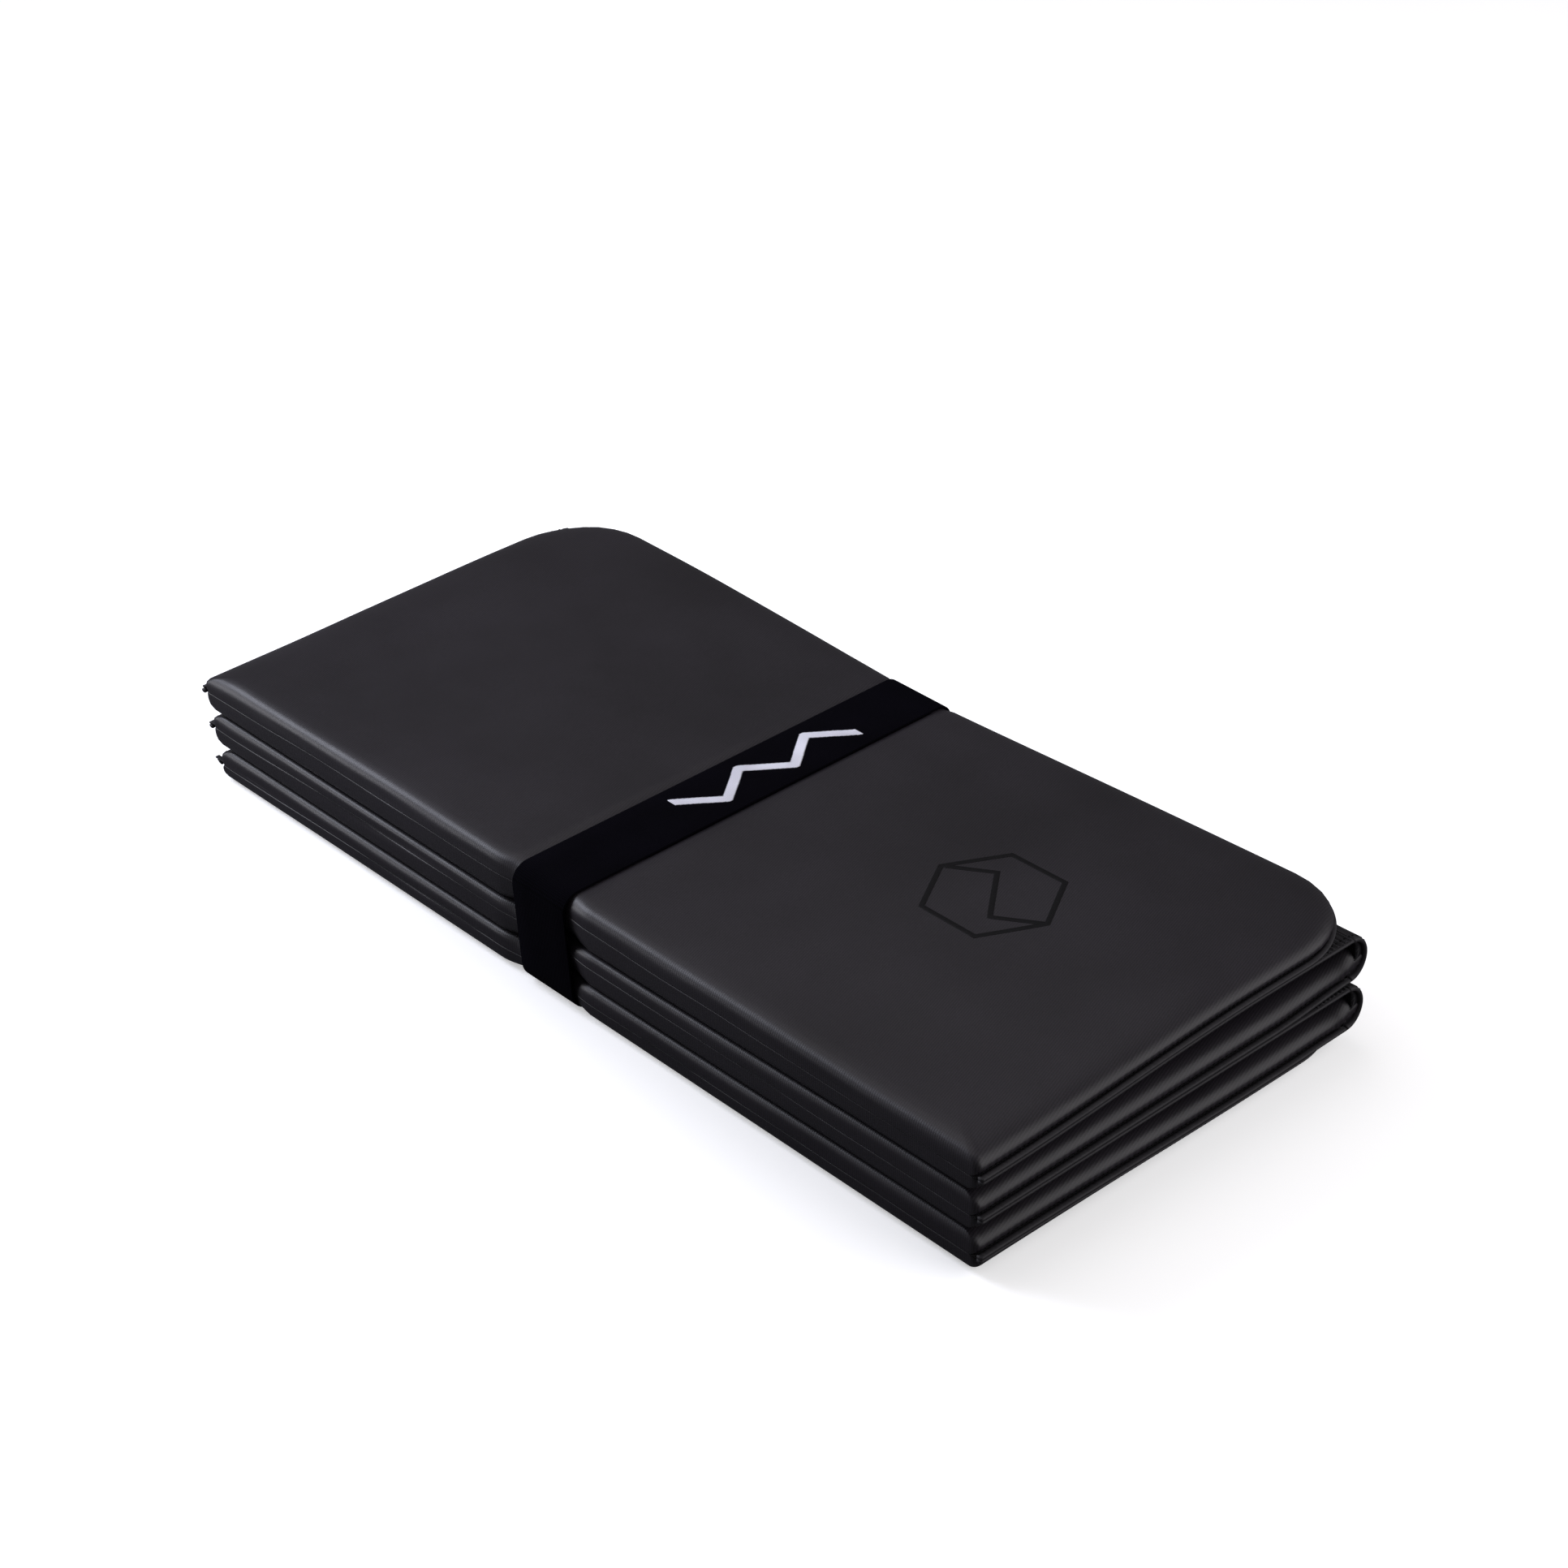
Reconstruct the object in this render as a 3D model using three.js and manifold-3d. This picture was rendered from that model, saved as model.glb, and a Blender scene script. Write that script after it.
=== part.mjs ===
// Folding exercise mat: six padded panels stacked in an accordion and held by an elastic strap.
// Millimetres, +Z up. The origin is the centre of the folded mat's footprint, at floor height.
// +X runs along the 600 mm side. The front (-Y) side holds three closed folds, where two base
// cloths meet; the back (+Y) side holds two open loops and the free edges of the end panels.
import * as THREE from 'three';
import { mergeVertices } from 'three/addons/utils/BufferGeometryUtils.js';
import Module from 'manifold-3d';

const wasm = await Module();
wasm.setup();

// ---- driving dimensions -----------------------------------------------------------------------
const LENGTH = 600; // seam lip to seam lip, along X
const DEPTH = 280; // strap on the front wall to the free edges at the back
const PITCH = 11.25; // thickness of one padded panel, with its share of the clearance
const GAP = 0.3; // clearance between separate pieces
const PANEL_COUNT = 6;

const LIP_WIDTH = 3; // sewn seam allowance that stands out of the panel's ends
const LIP_HEIGHT = 1.9; // top of the seam allowance above the fold plane
const CLOTH = 0.85; // coated cover cloth with its backing
const BASE_CLOTH = 0.7;
const ROLL = 4.6; // radius of the rounded edge round the top skin
const WALL_SLOPE = 0.9; // how far the side wall leans in below the roll
const SMALL_CORNER = 3.5; // plan radius at the fold corners
const FREE_CORNER = 44; // plan radius at the free corners of the two end panels

const STRAP_X = -9; // the strap sits a little off the middle
const STRAP_WIDTH = 40;
const STRAP_THICK = 1.3;
const STRAP_CORNER = 6; // inner bend radius of the strap
const STRAP_BITE = 1.3; // how deep the strap presses into the padding above
const STRAP_SINK = 1.8; // depth of the strap's groove under the mat
const BITE_WIDTH = STRAP_WIDTH + 2; // the padding gives way a little beyond the strap
const JOIN_HEIGHT = 24; // sewn overlap that closes the strap into a loop

const MOTIF = { y: 15, length: 114, height: 22, stroke: 5.2, folds: 5 }; // woven into the strap
const MOTIF_THICK = 0.4;
const EMBLEM = { x: 158, y: 13, radius: 38, line: 3, bend: 15 }; // printed on the top panel
const EMBLEM_THICK = 0.3;

const CORNER_STEPS = 2; // flats round a small corner
const FREE_CORNER_STEPS = 7; // flats round a free corner
const STRAP_CORNER_STEPS = 5;
const LOOP_STEPS = 10; // flats round a back loop
const ROLL_ANGLES = [30, 60, 90]; // rings round the rolled edge of a top skin, in degrees

// ---- places worked out from them --------------------------------------------------------------
const frontWall = -DEPTH / 2 + STRAP_THICK + GAP; // outer face of the front folds
const freeEdge = DEPTH / 2; // seam lip of the end panels at the back
const loopOuter = 129.2; // outermost point of the two back loops
const foldClearance = 0.1; // kept between a loop's edge and the panels it joins
const loopRadius = PITCH - 0.25;
const loopCentre = loopOuter - loopRadius; // hinge line of the back folds
const pinchEdge = loopOuter; // free edge where the strap draws it in
const foldPlane = (k) => k * PITCH - GAP / 2; // plane between panel k+1 (upper) and panel k (lower)
const matTop = PANEL_COUNT * PITCH - GAP;
const strapInner = {
  front: frontWall - GAP,
  back: loopOuter + GAP,
  bottom: STRAP_SINK - GAP,
  top: matTop - STRAP_BITE + GAP,
};

const COLOURS = {
  cover: [0x2f2d32, 0.62],
  base: [0x28262b, 0.8],
  foam: [0x8c8c90, 0.95],
  seam: [0x242226, 0.7],
  strap: [0x08070c, 0.9],
  woven: [0xe6e6f0, 0.85],
  emblem: [0x1b191d, 0.55],
};

const part = new THREE.Group();

function addNode(name, geometry, finish) {
  const [color, roughness] = COLOURS[finish];
  geometry.computeVertexNormals();
  const material = new THREE.MeshStandardMaterial({ color, roughness, metalness: 0 });
  const mesh = new THREE.Mesh(geometry, material);
  mesh.name = name;
  part.add(mesh);
}

// ---- solids -----------------------------------------------------------------------------------
// Closes a stack of equal-length rings with a side wall between each two and a fan on each end.
function loft(rings, flipped) {
  const count = rings[0].length;
  const positions = rings.flat().flatMap((p) => [p.x, p.y, p.z]);
  const triangles = [];
  const addTriangle = (a, b, c) => triangles.push(...(flipped ? [a, c, b] : [a, b, c]));
  for (let r = 0; r < rings.length - 1; r += 1) {
    for (let i = 0; i < count; i += 1) {
      const a = r * count + i;
      const b = r * count + ((i + 1) % count);
      addTriangle(a, b, b + count);
      addTriangle(a, b + count, a + count);
    }
  }
  const addCap = (ring, facesForward) => {
    const middle = new THREE.Vector3();
    rings[ring].forEach((p) => middle.add(p));
    middle.divideScalar(count);
    const hub = positions.length / 3;
    positions.push(middle.x, middle.y, middle.z);
    for (let i = 0; i < count; i += 1) {
      const a = ring * count + i;
      const b = ring * count + ((i + 1) % count);
      if (facesForward) addTriangle(hub, a, b);
      else addTriangle(hub, b, a);
    }
  };
  addCap(0, false);
  addCap(rings.length - 1, true);
  const geometry = new THREE.BufferGeometry();
  geometry.setAttribute('position', new THREE.Float32BufferAttribute(positions, 3));
  geometry.setIndex(triangles);
  return geometry;
}

function toSolid(geometry) {
  const bare = geometry.clone();
  bare.deleteAttribute('normal');
  bare.deleteAttribute('uv');
  const merged = mergeVertices(bare, 1e-4);
  const vertProperties = new Float32Array(merged.attributes.position.array);
  const triVerts = new Uint32Array(merged.index.array);
  return new wasm.Manifold(new wasm.Mesh({ numProp: 3, vertProperties, triVerts }));
}

function toGeometry(solid) {
  const mesh = solid.getMesh();
  const geometry = new THREE.BufferGeometry();
  geometry.setAttribute('position', new THREE.Float32BufferAttribute(mesh.vertProperties, 3));
  geometry.setIndex([...mesh.triVerts]);
  return geometry;
}

function box(x0, x1, y0, y1, z0, z1) {
  const geometry = new THREE.BoxGeometry(x1 - x0, y1 - y0, z1 - z0);
  geometry.translate((x0 + x1) / 2, (y0 + y1) / 2, (z0 + z1) / 2);
  return geometry;
}

// Extrudes a shape drawn in (y, z) along X, between x0 and x1.
function prismAlongX(shape, x0, x1) {
  const geometry = new THREE.ExtrudeGeometry(shape, { depth: x1 - x0, bevelEnabled: false, steps: 1 });
  geometry.applyMatrix4(new THREE.Matrix4().set(0, 0, 1, x0, 1, 0, 0, 0, 0, 1, 0, 0, 0, 0, 0, 1));
  return geometry;
}

// Extrudes a shape drawn in (x, y) upwards, between z0 and z1.
function prismAlongZ(shape, z0, z1) {
  const geometry = new THREE.ExtrudeGeometry(shape, { depth: z1 - z0, bevelEnabled: false, steps: 1 });
  geometry.translate(0, 0, z0);
  return geometry;
}

function arc(cx, cy, radius, fromDegrees, toDegrees, steps) {
  const points = [];
  for (let i = 0; i <= steps; i += 1) {
    const angle = THREE.MathUtils.degToRad(fromDegrees + ((toDegrees - fromDegrees) * i) / steps);
    points.push(new THREE.Vector2(cx + radius * Math.cos(angle), cy + radius * Math.sin(angle)));
  }
  return points;
}

function roundedRectangle(left, right, low, high, radius, steps) {
  return [
    ...arc(right - radius, low + radius, radius, -90, 0, steps),
    ...arc(right - radius, high - radius, radius, 0, 90, steps),
    ...arc(left + radius, high - radius, radius, 90, 180, steps),
    ...arc(left + radius, low + radius, radius, 180, 270, steps),
  ];
}

// ---- panels -----------------------------------------------------------------------------------
// Panel 1 is on top and panel 6 on the floor. Odd panels have their top skin up, even ones down.
const panels = Array.from({ length: PANEL_COUNT }, (_, index) => {
  const number = index + 1;
  const topSkinUp = number % 2 === 1;
  return {
    number,
    topSkinUp,
    planeZ: foldPlane(PANEL_COUNT - number + (topSkinUp ? 0 : 1)),
    isEnd: number === 1 || number === PANEL_COUNT,
  };
});

const FRONT_CORNER_POINTS = 6; // the two front corners come first in every outline

// Outline in plan, drawn in by `inset` from the seam lip. The fold edges have no lip.
function panelOutline(panel, inset) {
  const x = LENGTH / 2 - inset;
  const foldInset = Math.max(0, inset - LIP_WIDTH);
  const front = frontWall + foldInset;
  const small = Math.max(0.8, SMALL_CORNER - foldInset * 0.5);
  const corners = [
    ...arc(-x + small, front + small, small, 180, 270, CORNER_STEPS),
    ...arc(x - small, front + small, small, 270, 360, CORNER_STEPS),
  ];
  if (!panel.isEnd) {
    const back = loopCentre - GAP - foldClearance - foldInset;
    return [
      ...corners,
      ...arc(x - small, back - small, small, 0, 90, CORNER_STEPS),
      ...arc(-x + small, back - small, small, 90, 180, CORNER_STEPS),
    ];
  }
  const back = freeEdge - inset;
  const large = FREE_CORNER - inset;
  const pinch = pinchEdge - inset;
  return [
    ...corners,
    ...arc(x - large, back - large, large, 0, 90, FREE_CORNER_STEPS),
    new THREE.Vector2(STRAP_X + BITE_WIDTH / 2, pinch),
    new THREE.Vector2(STRAP_X - BITE_WIDTH / 2, pinch),
    ...arc(-x + large, back - large, large, 90, 180, FREE_CORNER_STEPS),
  ];
}

// One ring of a panel at height h above its fold plane; h grows towards the panel's top skin.
function panelRing(panel, inset, h) {
  const z = panel.planeZ + (panel.topSkinUp ? h : -h);
  return panelOutline(panel, inset).map((p) => new THREE.Vector3(p.x, p.y, z));
}

// Rings of the padded form between heights `low` and `high`, shrunk by `shrink` all round.
function padRings(panel, low, high, shrink) {
  const wallInset = LIP_WIDTH + shrink;
  const rollBase = high - ROLL;
  const rings = [
    panelRing(panel, wallInset, low),
    panelRing(panel, wallInset + WALL_SLOPE, rollBase),
  ];
  for (const degrees of ROLL_ANGLES) {
    const angle = THREE.MathUtils.degToRad(degrees);
    const inset = wallInset + WALL_SLOPE + ROLL * (1 - Math.cos(angle));
    rings.push(panelRing(panel, inset, rollBase + ROLL * Math.sin(angle)));
  }
  return rings;
}

// The space outside the strap's inner face, over the strap's width: what the strap presses away.
function strapBite(clearance) {
  const { front, back, bottom, top } = strapInner;
  const reach = DEPTH; // well outside the mat
  const outside = new THREE.Shape(roundedRectangle(-reach, reach, -reach, reach, 1, 1));
  const inner = roundedRectangle(
    front + clearance,
    back - clearance,
    bottom + clearance,
    top - clearance,
    STRAP_CORNER,
    STRAP_CORNER_STEPS,
  );
  outside.holes.push(new THREE.Path(inner));
  const half = BITE_WIDTH / 2 + clearance - GAP;
  return toSolid(prismAlongX(outside, STRAP_X - half, STRAP_X + half));
}

const COVER_LOW = GAP / 2 + BASE_CLOTH + GAP; // the cover starts just above the base cloth
const PAD_TOP = PITCH - GAP / 2;

function coverTray(panel) {
  const outer = padRings(panel, COVER_LOW, PAD_TOP, 0);
  const inner = padRings(panel, COVER_LOW, PAD_TOP - CLOTH, CLOTH);
  return loft([...inner.reverse(), ...outer], !panel.topSkinUp);
}

function solidPad(panel, shrink, low, high) {
  return loft(padRings(panel, low, high, shrink), !panel.topSkinUp);
}

// The end panels carry the strap's groove: the cover keeps its thickness where it is pressed in.
function groovedCover(panel) {
  const outer = toSolid(solidPad(panel, 0, COVER_LOW, PAD_TOP)).subtract(strapBite(GAP));
  const openBelow = COVER_LOW - 1;
  const innerPad = solidPad(panel, CLOTH, openBelow, PAD_TOP - CLOTH);
  const inner = toSolid(innerPad).subtract(strapBite(GAP + CLOTH));
  return outer.subtract(inner);
}

function baseCloth(panel) {
  const inset = LIP_WIDTH + 1;
  const rings = [panelRing(panel, inset, GAP / 2), panelRing(panel, inset, GAP / 2 + BASE_CLOTH)];
  return loft(rings, !panel.topSkinUp);
}

// Straight seam lip on one short end of an inner panel.
function endLip(panel, side) {
  const front = frontWall;
  const back = loopCentre - GAP;
  const outer = (side * LENGTH) / 2;
  const inner = side * (LENGTH / 2 - LIP_WIDTH + GAP);
  const [z0, z1] = lipSpan(panel);
  return box(Math.min(outer, inner), Math.max(outer, inner), front, back, z0, z1);
}

function lipSpan(panel) {
  const near = GAP / 2;
  if (panel.topSkinUp) return [panel.planeZ + near, panel.planeZ + LIP_HEIGHT];
  return [panel.planeZ - LIP_HEIGHT, panel.planeZ - near];
}

// U-shaped seam lip round the three free sides of an end panel, open at the front fold.
function freeLip(panel) {
  const fromFront = (inset) => {
    const x = LENGTH / 2 - inset;
    const path = panelOutline(panel, inset).slice(FRONT_CORNER_POINTS);
    return [new THREE.Vector2(x, frontWall), ...path, new THREE.Vector2(-x, frontWall)];
  };
  const outline = [...fromFront(0), ...fromFront(LIP_WIDTH - GAP).reverse()];
  const [z0, z1] = lipSpan(panel);
  return prismAlongZ(new THREE.Shape(outline), z0, z1);
}

// ---- folds ------------------------------------------------------------------------------------
// Narrow strip where the base cloth turns from one panel into the next, inside a front fold.
function creaseWeb(plane) {
  const reach = GAP / 2 + BASE_CLOTH;
  const x = LENGTH / 2 - LIP_WIDTH;
  return box(-x, x, frontWall, frontWall + 1 - GAP, plane - reach, plane + reach);
}

// Half tube of cloth round a back fold, open towards the panels.
function loopShell(plane, outerRadius, thick, halfLength) {
  const outline = [
    ...arc(loopCentre, plane, outerRadius, -90, 90, LOOP_STEPS),
    ...arc(loopCentre, plane, outerRadius - thick, 90, -90, LOOP_STEPS),
  ];
  return prismAlongX(new THREE.Shape(outline), -halfLength, halfLength);
}

// ---- strap ------------------------------------------------------------------------------------
function strapBand() {
  const { front, back, bottom, top } = strapInner;
  const t = STRAP_THICK;
  const outer = roundedRectangle(
    front - t,
    back + t,
    bottom - t,
    top + t,
    STRAP_CORNER + t,
    STRAP_CORNER_STEPS,
  );
  const inner = roundedRectangle(front, back, bottom, top, STRAP_CORNER, STRAP_CORNER_STEPS);
  const ring = new THREE.Shape(outer);
  ring.holes.push(new THREE.Path(inner));
  return prismAlongX(ring, STRAP_X - STRAP_WIDTH / 2, STRAP_X + STRAP_WIDTH / 2);
}

// Generic woven zigzag: one closed ribbon of equal folds along Y, `grow` larger all round.
function motifShape(grow) {
  const { y, length, height, stroke, folds } = MOTIF;
  const swing = (height - stroke) / 2;
  const crest = (i) => new THREE.Vector2(
    STRAP_X + (i % 2 === 0 ? -swing : swing),
    y - length / 2 + (length * i) / folds,
  );
  const half = stroke / 2 + grow;
  const leg = crest(1).sub(crest(0)).normalize();
  const near = [];
  const far = [];
  const addPair = (point, across, reach) => {
    near.push(point.clone().addScaledVector(across, reach));
    far.push(point.clone().addScaledVector(across, -reach));
  };
  const addEnd = (point, along, distance) => {
    const across = new THREE.Vector2(along.y, -along.x);
    addPair(point.clone().addScaledVector(along, distance), across, half);
  };
  addEnd(crest(0), leg, -grow);
  for (let i = 1; i < folds; i += 1) {
    addPair(crest(i), new THREE.Vector2(1, 0), half / leg.y);
  }
  const lastLeg = crest(folds).sub(crest(folds - 1)).normalize();
  addEnd(crest(folds), lastLeg, grow);
  return new THREE.Shape([...near, ...far.reverse()]);
}

// ---- emblem -----------------------------------------------------------------------------------
// Generic badge: a six-sided ring crossed by one folded line.
function hexagon(radius) {
  return arc(EMBLEM.x, EMBLEM.y, radius, 0, 300, 5);
}

function emblemShape(grow) {
  const { x, y, radius, line, bend } = EMBLEM;
  const shape = new THREE.Shape(hexagon(radius + grow));
  if (grow > 0) return shape;
  const inner = hexagon(radius - line);
  const left = inner[3].x;
  const right = inner[0].x;
  const half = line / 2;
  const fold = [
    new THREE.Vector2(left, y),
    new THREE.Vector2(x - radius / 3, y + bend),
    new THREE.Vector2(x, y),
    new THREE.Vector2(x + radius / 3, y - bend),
    new THREE.Vector2(right, y),
  ];
  const lifted = (amount) => fold.slice(1, -1).map((p) => new THREE.Vector2(p.x, p.y + amount));
  const upper = [
    new THREE.Vector2(right - half, y + half * 2),
    inner[1],
    inner[2],
    new THREE.Vector2(left + half, y + half * 2),
    ...lifted(half * 2),
  ];
  const lower = [
    new THREE.Vector2(left + half, y - half * 2),
    inner[4],
    inner[5],
    new THREE.Vector2(right - half, y - half * 2),
    ...lifted(-half * 2).reverse(),
  ];
  shape.holes.push(new THREE.Path(upper), new THREE.Path(lower));
  return shape;
}

// ---- assembly ---------------------------------------------------------------------------------
for (const panel of panels) {
  const prefix = `panel_${panel.number}`;
  const foamShrink = CLOTH + GAP;
  const foamTop = PAD_TOP - CLOTH - GAP;
  const foam = solidPad(panel, foamShrink, COVER_LOW, foamTop);
  if (panel.isEnd) {
    const pocket = toSolid(prismAlongZ(emblemShape(GAP), matTop - EMBLEM_THICK - GAP, matTop + 1));
    const cover = groovedCover(panel);
    const finished = panel.number === 1 ? cover.subtract(pocket) : cover;
    addNode(`${prefix}_top_cover`, toGeometry(finished), 'cover');
    const foamBite = strapBite(2 * GAP + CLOTH);
    addNode(`${prefix}_foam_core`, toGeometry(toSolid(foam).subtract(foamBite)), 'foam');
    addNode(`${prefix}_edge_seam`, freeLip(panel), 'seam');
  } else {
    addNode(`${prefix}_top_cover`, coverTray(panel), 'cover');
    addNode(`${prefix}_foam_core`, foam, 'foam');
    addNode(`${prefix}_left_edge_seam`, endLip(panel, -1), 'seam');
    addNode(`${prefix}_right_edge_seam`, endLip(panel, 1), 'seam');
  }
  addNode(`${prefix}_base_cloth`, baseCloth(panel), 'base');
}

for (const upper of [1, 3, 5]) {
  const plane = foldPlane(PANEL_COUNT - upper);
  addNode(`fold_${upper}_${upper + 1}_crease_web`, creaseWeb(plane), 'base');
}

for (const upper of [2, 4]) {
  const plane = foldPlane(PANEL_COUNT - upper);
  const name = `fold_${upper}_${upper + 1}`;
  const liningRadius = loopRadius - CLOTH - GAP;
  addNode(`${name}_loop_cloth`, loopShell(plane, loopRadius, CLOTH, LENGTH / 2), 'base');
  addNode(`${name}_loop_lining`, loopShell(plane, liningRadius, CLOTH, LENGTH / 2 - LIP_WIDTH), 'cover');
}

const strapTop = strapInner.top + STRAP_THICK;
const motifPocket = toSolid(prismAlongZ(motifShape(GAP), strapTop - MOTIF_THICK - GAP, strapTop + 1));
addNode('strap_band', toGeometry(toSolid(strapBand()).subtract(motifPocket)), 'strap');
addNode('strap_woven_motif', prismAlongZ(motifShape(0), strapTop - MOTIF_THICK, strapTop), 'woven');

const joinFront = strapInner.back + STRAP_THICK + GAP;
const joinLow = foldPlane(3) - JOIN_HEIGHT / 2;
const joinHalfWidth = STRAP_WIDTH / 2;
const joinBox = box(
  STRAP_X - joinHalfWidth,
  STRAP_X + joinHalfWidth,
  joinFront,
  joinFront + STRAP_THICK,
  joinLow,
  joinLow + JOIN_HEIGHT,
);
addNode('strap_sewn_join', joinBox, 'strap');

addNode('panel_1_emblem', prismAlongZ(emblemShape(0), matTop - EMBLEM_THICK, matTop), 'emblem');

export default part;
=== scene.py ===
"""Looks of the folding exercise mat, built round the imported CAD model.

Shapes are worked out in millimetres and become metres when a mesh is made. Six padded panels lie in
a stack: odd ones have their top skin up, even ones down. Each pair (1-2, 3-4, 5-6) meets base to
base in a closed fold at the front (-Y); pairs are joined by open cloth loops at the back (+Y).
"""
import math

import bmesh
import bpy
import numpy as np
from mathutils import Matrix, Vector, noise

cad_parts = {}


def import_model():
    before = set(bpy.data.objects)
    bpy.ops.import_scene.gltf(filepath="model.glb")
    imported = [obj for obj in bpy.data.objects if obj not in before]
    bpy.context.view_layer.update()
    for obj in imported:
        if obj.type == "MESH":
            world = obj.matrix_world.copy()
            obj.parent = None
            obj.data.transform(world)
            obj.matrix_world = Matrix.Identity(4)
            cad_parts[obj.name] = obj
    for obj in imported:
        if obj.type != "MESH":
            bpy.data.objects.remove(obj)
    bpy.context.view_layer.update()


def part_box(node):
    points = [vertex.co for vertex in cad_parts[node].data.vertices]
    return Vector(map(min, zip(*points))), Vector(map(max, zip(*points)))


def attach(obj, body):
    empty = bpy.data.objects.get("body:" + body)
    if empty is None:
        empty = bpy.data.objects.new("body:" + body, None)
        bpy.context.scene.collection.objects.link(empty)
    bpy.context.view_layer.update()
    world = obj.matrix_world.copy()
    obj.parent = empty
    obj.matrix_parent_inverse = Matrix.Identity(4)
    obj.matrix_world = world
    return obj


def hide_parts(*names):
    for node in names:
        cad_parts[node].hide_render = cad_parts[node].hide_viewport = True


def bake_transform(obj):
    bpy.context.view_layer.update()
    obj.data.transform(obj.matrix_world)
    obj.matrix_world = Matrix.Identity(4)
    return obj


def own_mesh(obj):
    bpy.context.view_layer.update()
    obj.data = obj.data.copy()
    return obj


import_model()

MM = 0.001


# ---- measures taken from the CAD frame --------------------------------------------------------
def box_mm(node):
    low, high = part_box(node)
    return np.array(low) / MM, np.array(high) / MM


def fold_node(upper):
    kind = "crease_web" if upper % 2 else "loop_cloth"
    return f"fold_{upper}_{upper + 1}_{kind}"


def fold_plane(upper):
    """Height of the plane between a panel and the one below it."""
    low, high = box_mm(fold_node(upper))
    return (low[2] + high[2]) / 2


_, seam_high = box_mm("panel_1_edge_seam")
_, cover_high = box_mm("panel_1_top_cover")
inner_low, inner_high = box_mm("panel_2_top_cover")
loop_low, loop_high = box_mm("fold_2_3_loop_cloth")
strap_low, strap_high = box_mm("strap_band")

PANELS = range(1, 7)
END_PANELS = (1, 6)
HALF = seam_high[0]
FRONT = inner_low[1]
INNER_BACK = inner_high[1]
FREE_BACK = seam_high[1] - 1.2  # the free edges are drawn in a little
PAD = cover_high[2] - fold_plane(1)
LOOP_TIP = loop_high[1] - 0.8  # so are the loops
LOOP_RADIUS = (loop_high[2] - loop_low[2]) / 2
LOOP_START = LOOP_TIP - LOOP_RADIUS
STRAP_X = (strap_low[0] + strap_high[0]) / 2
STRAP_HALF = (strap_high[0] - strap_low[0]) / 2

# ---- driving dimensions of the looks, in millimetres ------------------------------------------
STRAP_THICK = 1.3
STRAP_BEND = 9.0
STRAP_STEP = 4
STRAP_SLANT = 4.5
GRID_INSET = 56.0  # where the edge's rings end and the flat grid of the top skin starts
SMALL_CORNER = 3.5
FREE_CORNER = 52.0
LIP_TUCK = 3.5  # the seam turns wider than the padding at a free corner, and so hides under it
CLOTH = 0.75
LIP_WIDTH = 3.0
STITCH_PITCH = 3.0
STITCH_HEIGHT = 3.0  # of the row of thread above the seam lip
PINCH = 7.0  # how far the strap draws in the free edges at the back

# How far each panel's base and top skin have sprung up at the stack's +X back corner.
SPRING = {
    1: (7.5, 6.2), 2: (7.5, 7.5), 3: (1.0, 1.0), 4: (0.6, 0.6), 5: (-3.0, -3.0), 6: (-3.0, 0.0),
}
END_DROP = 2.2  # further fall of the top panel's skin right at its -X end
CURL = {3: 3.5, 5: 0.8}  # further rise of the last stretch before a loop
LEFT_SHARE = 0.4  # the -X end has sprung open less
# How far the stack's own weight has let each top skin down, in the half away from the +X end.
SETTLED = {1: 0, 2: -4.0, 3: -4.0, 4: -2.4, 5: -2.4, 6: 0}
# How far each panel's base and top skin droop at the -X end.
DROOP = {1: (-2.7, -1.5), 2: (-2.7, 0), 3: (-1.6, 0), 4: (-1.6, 0), 5: (-1.6, 0), 6: (-1.6, 0)}
CREEP = {1: -2.0, 2: -2.0, 3: 1.5, 4: 1.5, 5: 5.5, 6: 5.5}  # how far each -X end has slid to +X
TONGUE = 9.2  # how far the padding of panels 3 and 5 runs on into their loops
TONGUE_FILL = 1.3  # gap between a tongue and its loop's outer face
RIPPLES = 24  # radial folds of a tongue's tip in a full turn
HILL_HEIGHT = 0.4
WRINKLE_DEPTH = 0.45

# Cross-section of a cover from its rim to the flat top: distance from the edge, then height.
UPPER_END = [
    (4.6, 1.3), (4.0, 2.0), (3.2, 3.0), (2.9, 4.2), (3.3, 5.7), (4.8, 7.4), (7.6, 8.9),
    (12.0, 10.1), (18.0, 10.8), (27.0, 11.1), (38.0, 11.1), (GRID_INSET, 11.1),
]
LOWER_END = [
    (3.9, 1.3), (3.6, 1.8), (3.4, 2.6), (3.6, 4.0), (4.6, 6.0), (7.0, 8.0), (10.5, 9.6),
    (15.0, 10.6), (20.0, 11.0), (27.0, 11.1), (38.0, 11.1), (GRID_INSET, 11.1),
]
TOP_FOLD = [
    (0.0, 0.0), (0.0, 0.7), (0.0, 1.8), (0.05, 3.6), (0.3, 5.8), (1.1, 7.9), (2.6, 9.5),
    (4.9, 10.5), (8.5, 11.0), (15.0, 11.1), (28.0, 11.1), (GRID_INSET, 11.1),
]
INNER_FOLD = [
    (0.0, 0.0), (0.0, 0.7), (0.0, 1.8), (0.0, 4.2), (0.2, 6.8), (0.9, 8.8), (2.1, 10.1),
    (3.9, 10.8), (6.5, 11.05), (12.0, 11.1), (26.0, 11.1), (GRID_INSET, 11.1),
]

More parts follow.
